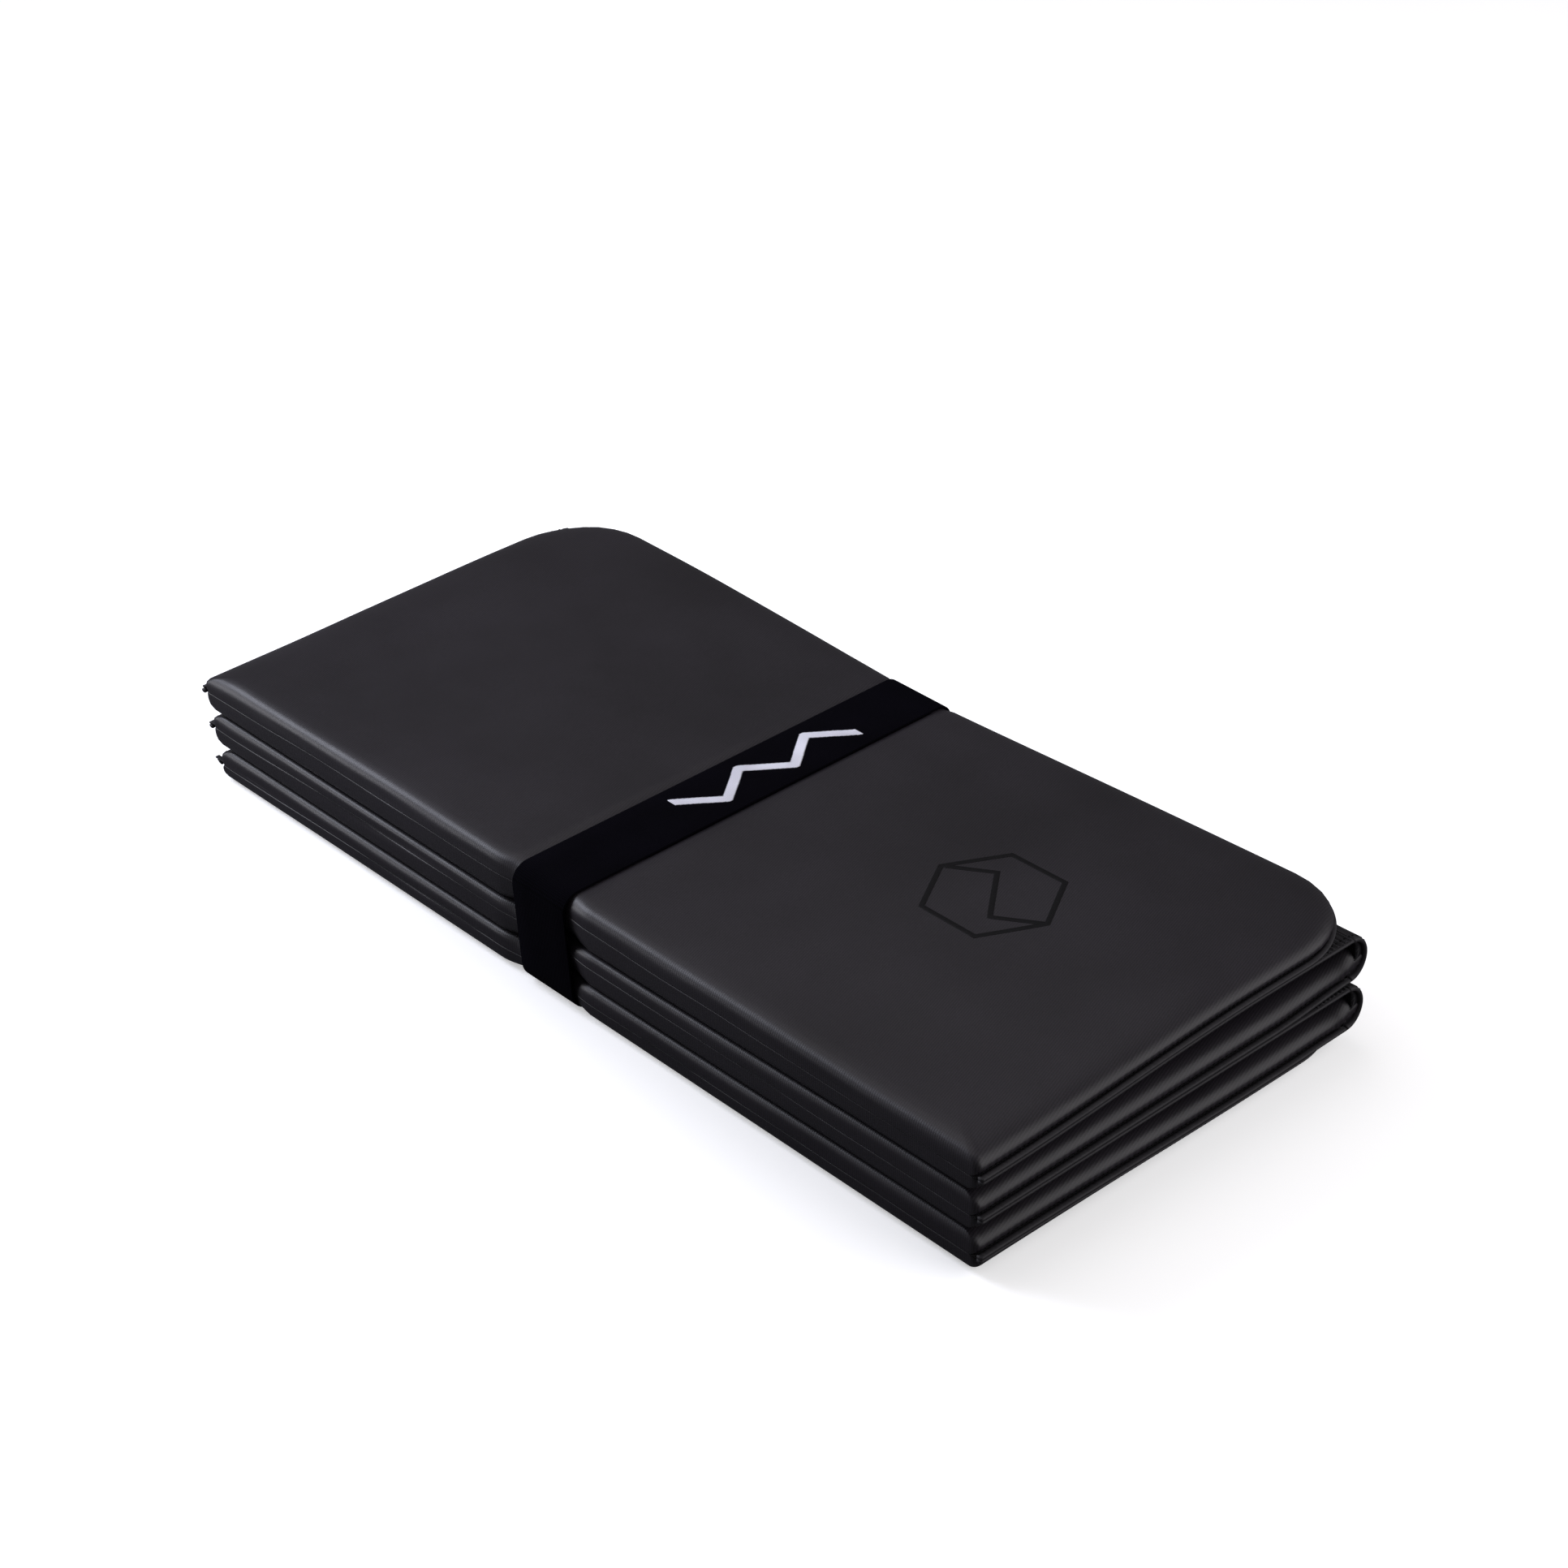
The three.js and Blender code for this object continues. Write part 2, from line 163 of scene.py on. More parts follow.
FOAM_END = [
    (GRID_INSET, 1.3), (8.0, 1.3), (6.4, 2.0), (5.6, 4.0), (8.0, 6.6), (12.5, 8.8), (19.0, 9.9),
    (GRID_INSET, 10.1),
]
FOAM_FOLD = [
    (GRID_INSET, 1.3), (3.0, 1.3), (1.5, 2.2), (1.3, 4.8), (1.6, 7.4), (3.6, 9.2), (9.0, 10.0),
    (GRID_INSET, 10.1),
]
BASE_END = [
    (GRID_INSET, 0.15), (14, 0.15), (4.0, 0.15), (3.2, 0.3), (3.1, 0.6), (3.6, 0.85), (14, 0.9),
    (GRID_INSET, 0.9),
]
BASE_FOLD = [
    (GRID_INSET, 0.15), (10, 0.15), (1.2, 0.15), (0.7, 0.3), (0.65, 0.6), (1.0, 0.85), (10, 0.9),
    (GRID_INSET, 0.9),
]
COVER_SPACING = 6.5
FOAM_SPACING = 14
BASE_SPACING = 9

# Stations up to a corner, closer together near it, and points round its bend.
APPROACH = (0.3, 0.52, 0.68, 0.78, 0.85, 0.90, 0.94, 0.97, 1)
ARC_POINTS = 7
STRAP_MARKS = np.array([16, 20, 22, 25, 29, 34])  # extra stations either side of the strap

# Cross-section of the seam lip: distance from the panel's edge, then height over the fold plane.
LIP_SECTION = [
    (3.2, 0.2), (1.8, 0.15), (0.7, 0.2), (0.15, 0.5), (0.0, 0.95), (0.15, 1.4), (0.7, 1.75),
    (1.8, 1.9), (3.2, 1.75),
]

# Rings of one bead of thread: place along it, share of its radius, and height.
BEAD_RINGS = [(-0.5, 0.25, -0.25), (-0.25, 0.9, 0.05), (0.25, 0.9, 0.05), (0.5, 0.25, -0.25)]
BEAD_SIDES = 5

EMBLEM_LINE = 3.0
EMBLEM_BEND = 15.0
EMBLEM_STEP = 3
OUTLINE_RISE = 0.14
FOLD_RISE = 0.12

# Cross-section of a crease web: distance from the fold, then height over its plane.
WEB_SECTION = [
    (2.6, 0.5), (0.5, 0.48), (0.2, 0.28), (0.12, 0), (0.2, -0.28), (0.5, -0.48), (2.6, -0.5),
    (2.6, -0.12), (0.75, -0.1), (0.6, 0), (0.75, 0.1), (2.6, 0.12),
]
WEB_STATIONS = 121

# Stations round a back loop, then on over the upper panel's base.
LOOP_ANGLES = np.radians(np.linspace(-97, 97, 57))
TAIL_ANGLES = np.radians(np.linspace(100, 215, 46))

# Cross-section of the strap: share of its half width, then height over its inner face.
STRAP_SECTION = [
    (-1.0, 0.3), (-0.995, 0.05), (-0.97, 0.0), (-0.5, 0.0), (0.0, 0.0), (0.5, 0.0), (0.97, 0.0),
    (0.995, 0.05), (1.0, 0.3), (1.0, 1.0), (0.985, 1.25), (0.96, 1.2), (0.94, 1.3), (0.5, 1.3),
    (0.0, 1.3), (-0.5, 1.3), (-0.94, 1.3), (-0.96, 1.2), (-0.985, 1.25), (-1.0, 1.0),
]

JOIN_ROWS = 25
TACK_ROW = 0.36  # share of the join's height at which a bar tack lies
TACK_GAP = 1.1
TACK_PITCH = 1.7

MOTIF_FOLDS = 5
MOTIF_STROKE = 5.4
PICK = 1.0  # width of one woven row
PICK_STEP = 0.5  # its ends fall on multiples of this
PICK_BEVEL = 0.18

TWILL_PITCH = 0.0013
TWILL_DEGREES = -17  # the ridges run 17 degrees from the Y axis towards -X

CAMERA_TURN = (47.88, 32.50, -1.07)  # azimuth, elevation and roll in degrees
CAMERA_PLACE = (1.1588, -1.0290, 1.0545)
CAMERA_LENS = 81.73
CAMERA_SENSOR = 36

FLOOR_HALF = 6.0
FLOOR_HEIGHT = -0.0002  # just under the mat, so that the two faces never coincide
FLOOR_GLOW = 0.42  # lifts the floor to white for the camera
FLOOR_DIM = (0.16, 0.16, 0.165, 1)  # the floor as the mat sees it
WORLD_GLOW = 0.14

# Name, direction from the mat, distance in metres, width and height in metres, watts, colour.
LIGHTS = [
    ("key", (0.70, 0.52, 0.46), 2.2, (2.6, 2.0), 36, (1.0, 0.98, 1.0)),
    ("side", (-0.76, -0.34, 0.62), 1.5, (0.6, 0.6), 14, (0.84, 0.87, 1.0)),
    ("low_side", (-0.79, -0.58, 0.18), 1.25, (0.6, 0.4), 4.6, (0.93, 0.93, 1.0)),
    ("overhead", (-0.35, 0.1, 1.0), 2.4, (2.0, 2.0), 15, (1.0, 0.97, 1.0)),
]


def end_profile(panel):
    return UPPER_END if panel % 2 or panel == 6 else LOWER_END


def fold_profile(panel):
    return TOP_FOLD if panel in END_PANELS else INNER_FOLD


def smooth(t):
    t = np.clip(t, 0, 1)
    return t * t * (3 - 2 * t)


def ease(value, start, length):
    """0 up to the start, then an eased step up to 1 over the length."""
    return smooth((value - start) / length)


def plane_of(panel):
    return fold_plane(panel if panel % 2 else panel - 1)


def side_of(panel):
    return 1 if panel % 2 else -1


def back_of(panel):
    return FREE_BACK if panel in END_PANELS else INNER_BACK


def pad_back_of(panel):
    return LOOP_START + TONGUE if panel in CURL else back_of(panel)


# ---- how the stack has settled ----------------------------------------------------------------
def spring(x, y):
    """0 by the strap and at the front folds, 1 at the +X end's back corner."""
    away = np.clip((np.abs(x - STRAP_X) - 24) / 262, 0, 1) ** 1.15
    return away * ease(y, -135, 190) * np.where(x > 0, 1, LEFT_SHARE)


def panel_shift(panel, x, y, h):
    """How far a point at height h over the fold plane has moved up or down."""
    share = h / PAD
    base, skin = SPRING[panel]
    sprung = spring(x, y) * (base + (skin - base) * share)
    curl = CURL.get(panel, 0) * ease(y, 60, 60) * spring(x, y)
    settled = SETTLED[panel] * share * (1 - ease(x, 14, 280))
    base_droop, skin_droop = DROOP[panel]
    droop = (base_droop + (skin_droop - base_droop) * share) * ease(-x, 170, 120)
    rounding = END_DROP * share * ease(-x, HALF - 30, 28) if panel == 1 else 0
    return sprung + curl + settled + droop - rounding


def creep(panel, x, y):
    """Small sideways slide of the stack's -X end, less at the back."""
    return CREEP[panel] * ease(-x, 90, 200) * (1 - 0.5 * ease(y, -140, 240))


def into_loop(y, h):
    """Height in a tongue: it curls up into the loop and fills it at the tip."""
    radius = LOOP_RADIUS - TONGUE_FILL
    out = np.clip(y - LOOP_START, 0, radius - 0.4)
    reach = np.sqrt(radius ** 2 - out ** 2)
    low = (LOOP_RADIUS - reach) * ease(y, LOOP_START - 7, 7)
    risen = PAD + 6.0 * ease(y, LOOP_START - 13, 18)
    high = np.minimum(risen, LOOP_RADIUS + reach - 0.2)
    return np.where(y > LOOP_START - 14, low + (high - low) * h / PAD, h)


def tip_ripples(x, y, h):
    """Radial folds that the end seam draws into a tongue's tip, as a shift along X."""
    angle = np.arctan2(h - LOOP_RADIUS, y - LOOP_START + 8)
    near = ease(y, LOOP_START - 15, 15) * ease(np.abs(x), HALF - 30, 26)
    return np.sign(x) * near * (1.5 + 0.45 * np.cos(RIPPLES * angle))


def hills(x, y):
    """Slow, shallow unevenness of the top skin, about -1 to 1."""
    points = np.column_stack([x / 85, y / 60, np.full(len(x), 3.7)])
    return np.array([noise.noise(Vector(p)) for p in points]) * 1.6


def wall_wrinkles(x, z, seed):
    """Lengthwise creases of a fold's front wall, about -1 to 1."""
    points = np.column_stack([x / 55, z / 3.4, np.full(len(x), seed)])
    return np.array([noise.noise(Vector(p)) for p in points]) * 1.5


def free_edge_pinch(x):
    """How far the strap draws a free edge in, fading along the edge."""
    away = np.clip((np.abs(x - STRAP_X) - 20) / 250, 0, 1)
    return PINCH * (1 - away) ** 1.5


def front_pinch(x, h):
    """How far the strap presses the front folds in, deepest at the outer faces of a pair."""
    near = 1 - ease(np.abs(x - STRAP_X), STRAP_HALF - 2, 17)
    return 4.6 * near * (0.3 + 0.7 * (h / PAD) ** 2)


def press_under_strap(points):
    """Keeps what lies under the strap inside the strap's inner face."""
    clearance = 0.3
    low = strap_low[1:] + STRAP_THICK + clearance
    high = strap_high[1:] - STRAP_THICK - clearance
    centre = (low + high) / 2
    offset = points[:, 1:] - centre
    reach = np.abs(offset) - ((high - low) / 2 - STRAP_BEND)
    outside = np.maximum(reach, 0)
    length = np.linalg.norm(outside, axis=1)
    depth = np.maximum(length - STRAP_BEND, 0)
    near = 1 - ease(np.abs(points[:, 0] - STRAP_X), STRAP_HALF + 0.5, 4)
    push = outside / np.maximum(length, 1e-9)[:, None] * (depth * near)[:, None]
    points[:, 1:] -= push * np.sign(offset)
    return points


def settle(panel, x, y, h):
    """Places points of a straight panel in the stack, given their height over its fold plane."""
    x, y, h = (np.asarray(v, float) for v in (x, y, h))
    x, y, h = (np.array(v) for v in np.broadcast_arrays(x, y, h))
    back = back_of(panel)
    if panel in END_PANELS:
        share = np.clip((y - (back - GRID_INSET)) / GRID_INSET, 0, 1)
        y -= free_edge_pinch(x) * share
    x += creep(panel, x, y)
    y += front_pinch(x, h) * (1 - ease(y, FRONT, 26))
    z = plane_of(panel) + side_of(panel) * h + panel_shift(panel, x, y, h)
    on_wall = 1 - ease(y, FRONT, 7)
    from_end = ease(HALF - np.abs(x), 6, 20)
    below_roll = 1 - ease(h, 4.5, 4)
    y += WRINKLE_DEPTH * on_wall * from_end * below_roll * wall_wrinkles(x, z, plane_of(panel))
    if panel == 1:
        z += HILL_HEIGHT * hills(x, y) * (h / PAD) ** 2
    if panel == 6:
        z = np.maximum(z, 0.05)
    return press_under_strap(np.column_stack([x, y, z]))


# ---- mesh helpers -----------------------------------------------------------------------------
def make_mesh(name, points, faces, material, merge=False, shade_smooth=True):
    mesh = bpy.data.meshes.new(name)
    mesh.from_pydata((np.asarray(points) * MM).tolist(), [], faces)
    if merge:
        work = bmesh.new()
        work.from_mesh(mesh)
        bmesh.ops.remove_doubles(work, verts=work.verts, dist=1e-6)
        bmesh.ops.dissolve_degenerate(work, edges=work.edges, dist=1e-7)
        work.to_mesh(mesh)
        work.free()
    mesh.update()
    mesh.polygons.foreach_set("use_smooth", [shade_smooth] * len(mesh.polygons))
    mesh.materials.append(material)
    piece = bpy.data.objects.new(name, mesh)
    bpy.context.scene.collection.objects.link(piece)
    return piece


def thicken(piece, thickness):
    layer = piece.modifiers.new("cloth", "SOLIDIFY")
    layer.thickness = thickness * MM
    layer.offset = -1
    return piece


def sweep(sections, closed=False):
    """Skins equal closed sections laid along a path. Each section turns the same way."""
    sections = np.asarray(sections, float)
    count, size = sections.shape[:2]
    faces = []
    for s in range(count if closed else count - 1):
        here, there = s * size, ((s + 1) % count) * size
        for i in range(size):
            j = (i + 1) % size
            faces.append((here + i, here + j, there + j, there + i))
    if not closed:
        faces.append(tuple(range(size - 1, -1, -1)))
        faces.append(tuple((count - 1) * size + i for i in range(size)))
    return sections.reshape(-1, 3), faces


def joined(parts):
    """Several (points, faces) pairs as one."""
    points, faces, start = [], [], 0
    for part_points, part_faces in parts:
        points.append(part_points)
        faces += [tuple(start + i for i in face) for face in part_faces]
        start += len(part_points)
    return np.concatenate(points), faces


def outward(piece):
    work = bmesh.new()
    work.from_mesh(piece.data)
    bmesh.ops.recalc_face_normals(work, faces=work.faces)
    work.to_mesh(piece.data)
    work.free()
    return piece


# ---- rings round a panel ----------------------------------------------------------------------
def corner(start, turn, end, along, across, radius):
    """Points from start round a corner to end, without either: a line, an arc and a line."""
    start, turn, end = (np.array(v, float) for v in (start, turn, end))
    along, across = (np.array(v, float) for v in (along, across))
    into = turn - along * radius
    out = turn + across * radius
    first = [start + (into - start) * t for t in APPROACH]
    angles = np.linspace(0, math.pi / 2, ARC_POINTS + 2)[1:-1]
    arc = [into + radius * (along * math.sin(a) + across * (1 - math.cos(a))) for a in angles]
    second = [out + (end - out) * (1 - t) for t in reversed(APPROACH)]
    return np.array(first + arc + second)


def row(x, y):
    x, y = np.broadcast_arrays(x, y)
    return np.column_stack([x, y])


def ring(panel, back_edge, end_inset, fold_inset, xs, ys):
    """One closed ring round a panel, counter-clockwise from the front left."""
    free = panel in END_PANELS
    right = HALF - end_inset
    front = FRONT + fold_inset
    back = back_edge - (end_inset if free else fold_inset)
    gx, low, high = xs[-1], ys[0], ys[-1]
    shrink = 1 - end_inset / GRID_INSET
    small = SMALL_CORNER * min(1, 1.4 * shrink)
    large = small
    if free:
        large = max(0, FREE_CORNER - end_inset)
    elif back_edge > LOOP_START:
        large = 0.3 * small
    return np.concatenate([
        row(xs, front),
        corner((gx, front), (right, front), (right, low), (1, 0), (0, 1), small),
        row(right, ys),
        corner((right, high), (right, back), (gx, back), (0, 1), (-1, 0), large),
        row(xs[::-1], back),
        corner((-gx, back), (-right, back), (-right, high), (-1, 0), (0, -1), large),
        row(-right, ys[::-1]),
        corner((-right, low), (-right, front), (-gx, front), (0, -1), (1, 0), small),
    ])


def end_weights(panel, columns, rows):
    """1 where a ring's point follows the end profile, 0 where it follows the fold profile."""
    back = 1.0 if panel in END_PANELS else 0.0
    bend = np.linspace(0, 1, ARC_POINTS + 2)[1:-1]
    turn = np.concatenate([np.zeros(len(APPROACH)), bend, np.ones(len(APPROACH))])
    return np.concatenate([
        np.zeros(columns), turn, np.ones(rows), 1 - (1 - back) * turn,
        np.full(columns, back), back + (1 - back) * turn, np.ones(rows), 1 - turn,
    ])


def grid_lines(back_edge, spacing):
    """Stations of the flat grid, with extra ones beside the strap, where the skin is pressed in."""
    gx = HALF - GRID_INSET
    coarse = np.linspace(-gx, gx, int(2 * gx / spacing) + 1)
    marks = STRAP_X + np.array([-1, 1])[:, None] * STRAP_MARKS
    marks = np.sort(marks.ravel())
    gap = np.abs(coarse[:, None] - marks[None, :]).min(1)
    kept = coarse[(gap > spacing * 0.45) | (np.abs(coarse) > gx - 1)]
    xs = np.sort(np.concatenate([kept, marks]))
    low, high = FRONT + GRID_INSET, back_edge - GRID_INSET
    ys = np.linspace(low, high, int((high - low) / spacing) + 1)
    return xs, ys


def grid_cap(xs, ys, h, facing):
    """Flat grid inside the innermost ring."""
    x, y = np.meshgrid(xs, ys)
    points = np.column_stack([x.ravel(), y.ravel(), np.full(x.size, h)])
    across, faces = len(xs), []
    for j in range(len(ys) - 1):
        for i in range(across - 1):
            a = j * across + i
            quad = (a, a + 1, a + across + 1, a + across)
            faces.append(quad if facing > 0 else quad[::-1])
    return points, faces


def ring_stack(panel, back_edge, end_rows, fold_rows, spacing, closed_low):
    """Skin over a panel: rings from the first profile row to the last, then a flat grid."""
    xs, ys = grid_lines(back_edge, spacing)
    weights = end_weights(panel, len(xs), len(ys))
    rings = []
    for (end_inset, end_h), (fold_inset, fold_h) in zip(end_rows, fold_rows):
        outline = ring(panel, back_edge, end_inset, fold_inset, xs, ys)
        h = fold_h + (end_h - fold_h) * weights
        rings.append(np.column_stack([outline, h]))
    size, faces = len(rings[0]), []
    for r in range(len(rings) - 1):
        for i in range(size):
            a, b = r * size + i, r * size + (i + 1) % size
            faces.append((a, b, b + size, a + size))
    parts = [(np.concatenate(rings), faces), grid_cap(xs, ys, end_rows[-1][1], 1)]
    if closed_low:
        parts.append(grid_cap(xs, ys, end_rows[0][1], -1))
    points, faces = joined(parts)
    if back_edge > LOOP_START and panel in CURL:
        points[:, 2] = into_loop(points[:, 1], points[:, 2])
        points[:, 0] += tip_ripples(*points.T)
    placed = settle(panel, *points.T)
    if side_of(panel) < 0:
        faces = [face[::-1] for face in faces]
    return placed, faces


# ---- materials --------------------------------------------------------------------------------
class Nodes:
    """Short forms for building one material's nodes."""

    def __init__(self, name, roughness, specular):
        self.material = bpy.data.materials.new(name)
        self.material.use_nodes = True
        self.tree = self.material.node_tree
        self.shader = self.tree.nodes["Principled BSDF"]
        self.shader.inputs["Roughness"].default_value = roughness
        self.shader.inputs["Specular IOR Level"].default_value = specular
        self.place = self.add("ShaderNodeTexCoord").outputs["Object"]

    def add(self, kind, **values):
        node = self.tree.nodes.new(kind)
        for name, value in values.items():
            setattr(node, name, value)
        return node

    def link(self, source, target):
        self.tree.links.new(source, target)

    def noise(self, scale, detail=2.0, stretch=(1, 1, 1)):
        mapping = self.add("ShaderNodeMapping")
        mapping.inputs["Scale"].default_value = stretch
        texture = self.add("ShaderNodeTexNoise")
        texture.inputs["Scale"].default_value = scale
        texture.inputs["Detail"].default_value = detail
        self.link(self.place, mapping.inputs["Vector"])
        self.link(mapping.outputs["Vector"], texture.inputs["Vector"])
        return texture.outputs["Fac"]

    def lines(self, pitch, degrees, axis="X"):
        """Parallel ridges of the given pitch in metres, turned about Z."""
        waves_at_scale_one = 20 / (2 * math.pi)
        mapping = self.add("ShaderNodeMapping")
        mapping.inputs["Rotation"].default_value = (0, 0, math.radians(degrees))
        wave = self.add("ShaderNodeTexWave", bands_direction=axis)
        wave.inputs["Scale"].default_value = 1 / (pitch * waves_at_scale_one)
        wave.inputs["Distortion"].default_value = 0
        self.link(self.place, mapping.inputs["Vector"])
        self.link(mapping.outputs["Vector"], wave.inputs["Vector"])
        return wave.outputs["Fac"]

    def ramp(self, source, low, high, low_at=0.3, high_at=0.7):
        ramp = self.add("ShaderNodeValToRGB")
        ramp.color_ramp.elements[0].position = low_at
        ramp.color_ramp.elements[1].position = high_at
        ramp.color_ramp.elements[0].color = (*low, 1)
        ramp.color_ramp.elements[1].color = (*high, 1)
        self.link(source, ramp.inputs["Fac"])
        return ramp.outputs["Color"]

    def mix(self, factor, first, second, blend="MIX"):
        mix = self.add("ShaderNodeMix", data_type="RGBA", blend_type=blend)
        mix.inputs["Factor"].default_value = factor
        self.link(first, mix.inputs["A"])
        self.link(second, mix.inputs["B"])
        return mix.outputs["Result"]

    def range(self, source, low, high):
        spread = self.add("ShaderNodeMapRange")
        spread.inputs["To Min"].default_value = low
        spread.inputs["To Max"].default_value = high
        self.link(source, spread.inputs["Value"])
        return spread.outputs["Result"]

    def bump(self, layers):
        """Chains (height, strength, distance in mm) layers into the shader's normal."""
        normal = None
        for height, strength, distance in layers:
            bump = self.add("ShaderNodeBump")
            bump.inputs["Strength"].default_value = strength
            bump.inputs["Distance"].default_value = distance * MM
            self.link(height, bump.inputs["Height"])
            if normal is not None:
                self.link(normal, bump.inputs["Normal"])
            normal = bump.outputs["Normal"]
        self.link(normal, self.shader.inputs["Normal"])


def leatherette(name, dark, light, twill):
    """Soft coated cover: fine grain, a slanting twill that shows through, slow patches of tone."""
    n = Nodes(name, 0.5, 0.30)
    patches = n.ramp(n.noise(11, 5), dark, light, 0.34, 0.66)
    grain = n.ramp(n.noise(1500, 2), (0.78,) * 3, (1.2,) * 3)
    ridges = n.lines(TWILL_PITCH, TWILL_DEGREES)
    ribbed = n.ramp(ridges, (1 - 0.6 * twill,) * 3, (1 + 0.5 * twill,) * 3, 0.1, 0.9)
    tone = n.mix(1.0, patches, grain, "MULTIPLY")
    n.link(n.mix(1.0, tone, ribbed, "MULTIPLY"), n.shader.inputs["Base Color"])
    n.link(n.range(n.noise(35, 4), 0.36, 0.47), n.shader.inputs["Roughness"])
    n.bump([
        (ridges, 0.35 * twill, 0.09),
        (n.noise(2600, 2), 0.25, 0.05),
        (n.noise(55, 3), 0.3, 0.3),
    ])
    return n.material


def woven(name, dark, light, pitch, roughness, specular, depth):
    """Plain weave: crossing ridges that also carry a little of the colour."""
    n = Nodes(name, roughness, specular)
    warp = n.lines(pitch, 0, "X")
    weft = n.lines(pitch, 0, "Y")
    along = n.ramp(warp, dark, light, 0.1, 0.9)
    across = n.ramp(weft, (0.7,) * 3, (1.2,) * 3)
    tone = n.mix(1.0, along, across, "MULTIPLY")
    patches = n.ramp(n.noise(40, 3), (0.8,) * 3, (1.15,) * 3)
    n.link(n.mix(1.0, tone, patches, "MULTIPLY"), n.shader.inputs["Base Color"])
    n.bump([(warp, depth, 0.12), (weft, depth, 0.12), (n.noise(900, 2), 0.3, 0.06)])
    return n.material


def plain(name, dark, light, roughness, specular, scale, depth):
    """Fine-grained finish for small pieces such as binding, thread and foam."""
    n = Nodes(name, roughness, specular)
    n.link(n.ramp(n.noise(scale, 3), dark, light), n.shader.inputs["Base Color"])
    n.bump([(n.noise(scale * 2.5, 2), depth, 0.1)])
    return n.material


# Name, darkest and lightest tone, then the numbers of each kind of cloth or finish.
COVER = leatherette(
    "cover_leatherette", (0.0098, 0.0080, 0.0108), (0.0150, 0.0126, 0.0166), twill=0.5)
LINING = leatherette(
    "lining_leatherette", (0.0115, 0.0110, 0.0130), (0.0165, 0.0155, 0.0180), twill=0.15)
BASE = woven(
    "base_cloth", (0.0080, 0.0076, 0.0090), (0.0150, 0.0142, 0.0165),
    pitch=0.0011, roughness=0.75, specular=0.2, depth=0.5)
STRAP = woven(
    "strap_elastic", (0.0009, 0.0007, 0.0018), (0.0022, 0.0018, 0.0038),
    pitch=0.0009, roughness=1.0, specular=0.03, depth=0.6)
PRINT = woven(
    "woven_motif", (0.62, 0.62, 0.70), (0.88, 0.88, 0.97),
    pitch=0.0010, roughness=0.8, specular=0.2, depth=0.8)
BINDING = plain(
    "seam_binding", (0.0150, 0.0138, 0.0162), (0.0230, 0.0212, 0.0246),
    roughness=0.6, specular=0.24, scale=400, depth=0.2)
THREAD = plain(
    "seam_thread", (0.0012, 0.0011, 0.0015), (0.0030, 0.0028, 0.0035),
    roughness=0.8, specular=0.1, scale=900, depth=0.4)
FOAM = plain(
    "grey_foam", (0.16, 0.16, 0.17), (0.30, 0.30, 0.32),
    roughness=0.95, specular=0.1, scale=600, depth=0.9)
EMBLEM = plain(
    "emblem_print", (0.0022, 0.0020, 0.0026), (0.0036, 0.0033, 0.0042),
    roughness=0.5, specular=0.12, scale=700, depth=0.3)


# ---- panels -----------------------------------------------------------------------------------
def panel_cover(panel):
    end, fold = end_profile(panel), fold_profile(panel)
    points, faces = ring_stack(panel, pad_back_of(panel), end, fold, COVER_SPACING, False)
    cover = make_mesh(f"panel_{panel}_cover", points, faces, COVER, merge=True)
    thicken(cover, CLOTH)
    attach(cover, f"panel_{panel}")
    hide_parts(f"panel_{panel}_top_cover")


def panel_foam(panel):
    points, faces = ring_stack(panel, back_of(panel), FOAM_END, FOAM_FOLD, FOAM_SPACING, True)
    foam = make_mesh(f"panel_{panel}_foam", points, faces, FOAM, merge=True)
    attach(foam, f"panel_{panel}")
    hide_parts(f"panel_{panel}_foam_core")


def panel_base(panel):
    points, faces = ring_stack(panel, back_of(panel), BASE_END, BASE_FOLD, BASE_SPACING, True)
    base = make_mesh(f"panel_{panel}_base", points, faces, BASE, merge=True)
    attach(base, f"panel_{panel}")
    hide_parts(f"panel_{panel}_base_cloth")


def side_path(side, inset, back):
    ys = np.arange(FRONT + 0.3, back, STITCH_PITCH / 4)
    return row(side * (HALF - inset), ys)


def free_path(inset):
    """From the front right round the free edge to the front left, in steps of a quarter stitch."""
    step = STITCH_PITCH / 4
    radius = FREE_CORNER + LIP_TUCK - inset
    right, back = HALF - inset, FREE_BACK - inset
    ys = np.arange(FRONT + 0.3, back - radius, step)
    angles = np.linspace(0, math.pi / 2, int(radius * math.pi / 2 / step))
    turn = row(right - radius + radius * np.cos(angles), back - radius + radius * np.sin(angles))
    half = np.concatenate([row(right, ys), turn])
    xs = np.arange(right - radius - step, -(right - radius), -step)
    return np.concatenate([half, row(xs, back), half[::-1] * [-1, 1]])


def seam_paths(panel, inset):
    if panel in END_PANELS:
        return {"edge": free_path(inset)}
    back = INNER_BACK + 0.4
    return {"left": side_path(-1, inset, back), "right": side_path(1, inset, back)}


def lip_mesh(panel, name):
    """Seam lip with small puckers in step with its stitches."""
    section_paths = [seam_paths(panel, inset)[name] for inset, _ in LIP_SECTION]
    count = min(len(path) for path in section_paths)
    step, steps_per_stitch = 2, 4
    sections = []
    for s in range(0, count, step):
        share = s / (count - 1)
        sections.append([path[round(share * (len(path) - 1))] for path in section_paths])
    flat = np.array(sections)
    heights = np.array([h for _, h in LIP_SECTION])
    pucker = 0.05 * np.cos(2 * math.pi * np.arange(len(flat)) * step / steps_per_stitch)
    h = heights[None, :] * (1 + pucker[:, None] * (heights[None, :] > 0.6))
    placed = settle(panel, flat[:, :, 0].ravel(), flat[:, :, 1].ravel(), h.ravel())
    return sweep(placed.reshape(len(flat), len(LIP_SECTION), 3))


